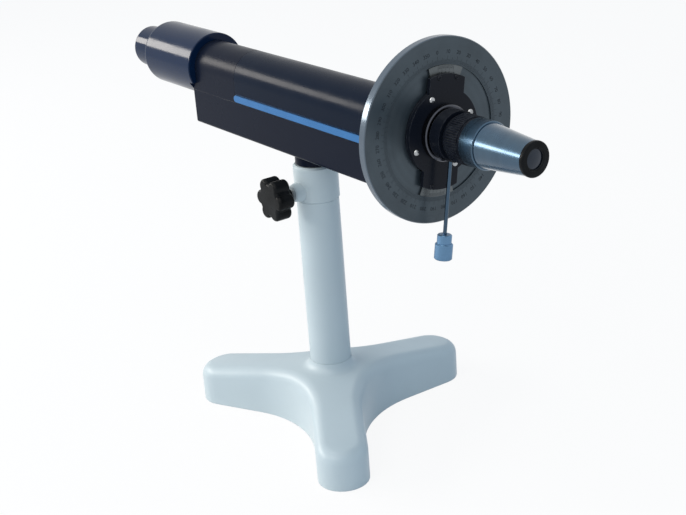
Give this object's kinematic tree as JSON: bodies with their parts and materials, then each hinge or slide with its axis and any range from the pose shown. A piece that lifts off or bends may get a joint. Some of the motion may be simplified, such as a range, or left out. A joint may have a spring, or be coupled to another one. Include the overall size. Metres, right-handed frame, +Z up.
{
  "type": "polarimeter",
  "caption": "Half-shade polarimeter: a black tube with a hinged lid over its sample tube, a round scale with a turning analyser and eyepiece, on a column and tripod.",
  "frame": {"origin": "on the table, on the column's axis, in the plane of the tripod's flat rim", "axes": "+X along the optical tube towards the eyepiece, +Z up"},
  "size_m": [0.5197, 0.2082, 0.3546],
  "materials": {
    "stand_paint": "smooth pale grey-blue enamel",
    "body_black": "gloss black enamel",
    "lid_black": "gloss black enamel",
    "strip_polish": "polished, blued",
    "hinge_black": "satin black",
    "steel": "bright turned",
    "knob_plastic": "moulded black",
    "brass": "turned",
    "inner_black": "matt black",
    "optical_glass": "polished",
    "tube_glass": "clear drawn glass",
    "washer_rubber": "soft red rubber",
    "dial_metal": "fine turned, darkened silver",
    "vernier_metal": "fine brushed silver",
    "hub_black": "satin black",
    "screw_bright": "polished",
    "lever_steel": "darkened",
    "lever_aluminium": "turned",
    "barrel_chrome": "mirror plated"
  },
  "bodies": {
    "stand": {"tripod_base": "stand_paint", "column": "stand_paint", "column_plug": "steel", "base_bolt": "steel", "base_washer": "steel", "clamp_collar": "stand_paint"},
    "clamp_shoe": {"clamp_pad": "brass"},
    "clamp": {"clamp_screw": "steel", "clamp_knob": "knob_plastic"},
    "head": {"head_post": "steel", "neck_block": "body_black", "body_casting": "body_black", "polariser_cover": "body_black", "deck_plate": "inner_black", "tube_cradle": "brass", "hinge_fixed_leaves": "hinge_black", "hinge_pins": "steel", "polariser_drum": "body_black", "entry_tube": "body_black", "condenser_lens": "optical_glass", "lens_ring": "inner_black", "polariser_cell": "brass", "polariser_prism": "optical_glass", "half_shade_cell": "brass", "half_shade_plates": "optical_glass", "sample_tube": "tube_glass", "tube_end_fittings": "brass", "tube_caps": "brass", "tube_windows": "optical_glass", "tube_washers": "washer_rubber", "front_bearing": "inner_black", "dial": "dial_metal", "dial_screws": "screw_bright"},
    "lid": {"lid": "lid_black", "lid_edge_strip": "strip_polish", "hinge_lid_leaves": "hinge_black"},
    "analyser": {"analyser_tube": "hub_black", "analyser_cell": "brass", "analyser_prism": "optical_glass", "vernier_arm": "hub_black", "vernier_plates": "vernier_metal", "vernier_screws": "hub_black", "hub_screws": "screw_bright", "hub_ring": "hub_black", "lever_collar": "hub_black", "lever_rod": "lever_steel", "lever_knob": "lever_aluminium", "knurled_collar": "hub_black", "telescope_barrel": "barrel_chrome", "objective_lens": "optical_glass"},
    "eyepiece": {"draw_tube": "barrel_chrome", "field_lens": "optical_glass", "eye_lens": "optical_glass", "eyecup": "knob_plastic"}
  },
  "joints": [
    {"name": "head_swivel", "type": "hinge", "parent": "stand", "child": "head", "pos_m": [0, 0, 0.2], "axis": [0, 0, 1], "continuous": true},
    {"name": "clamp_advance", "type": "slide", "parent": "stand", "child": "clamp_shoe", "axis": [0, -1, 0], "range_m": [0, 0.002]},
    {"name": "clamp_turn", "type": "hinge", "parent": "clamp_shoe", "child": "clamp", "pos_m": [0, -0.03, 0.209], "axis": [0, -1, 0], "range_deg": [0, 720]},
    {"name": "lid_open", "type": "hinge", "parent": "head", "child": "lid", "pos_m": [0, 0.024, 0.2755], "axis": [-1, 0, 0], "range_deg": [0, 110]},
    {"name": "analyser_turn", "type": "hinge", "parent": "head", "child": "analyser", "pos_m": [0.16, 0, 0.288], "axis": [1, 0, 0], "continuous": true},
    {"name": "eyepiece_focus", "type": "slide", "parent": "analyser", "child": "eyepiece", "axis": [1, 0, 0], "range_m": [0, 0.008]}
  ],
  "couplings": [
    {"joint": "clamp_advance", "follows": "clamp_turn", "m_per_rad": 0.00015915}
  ]
}
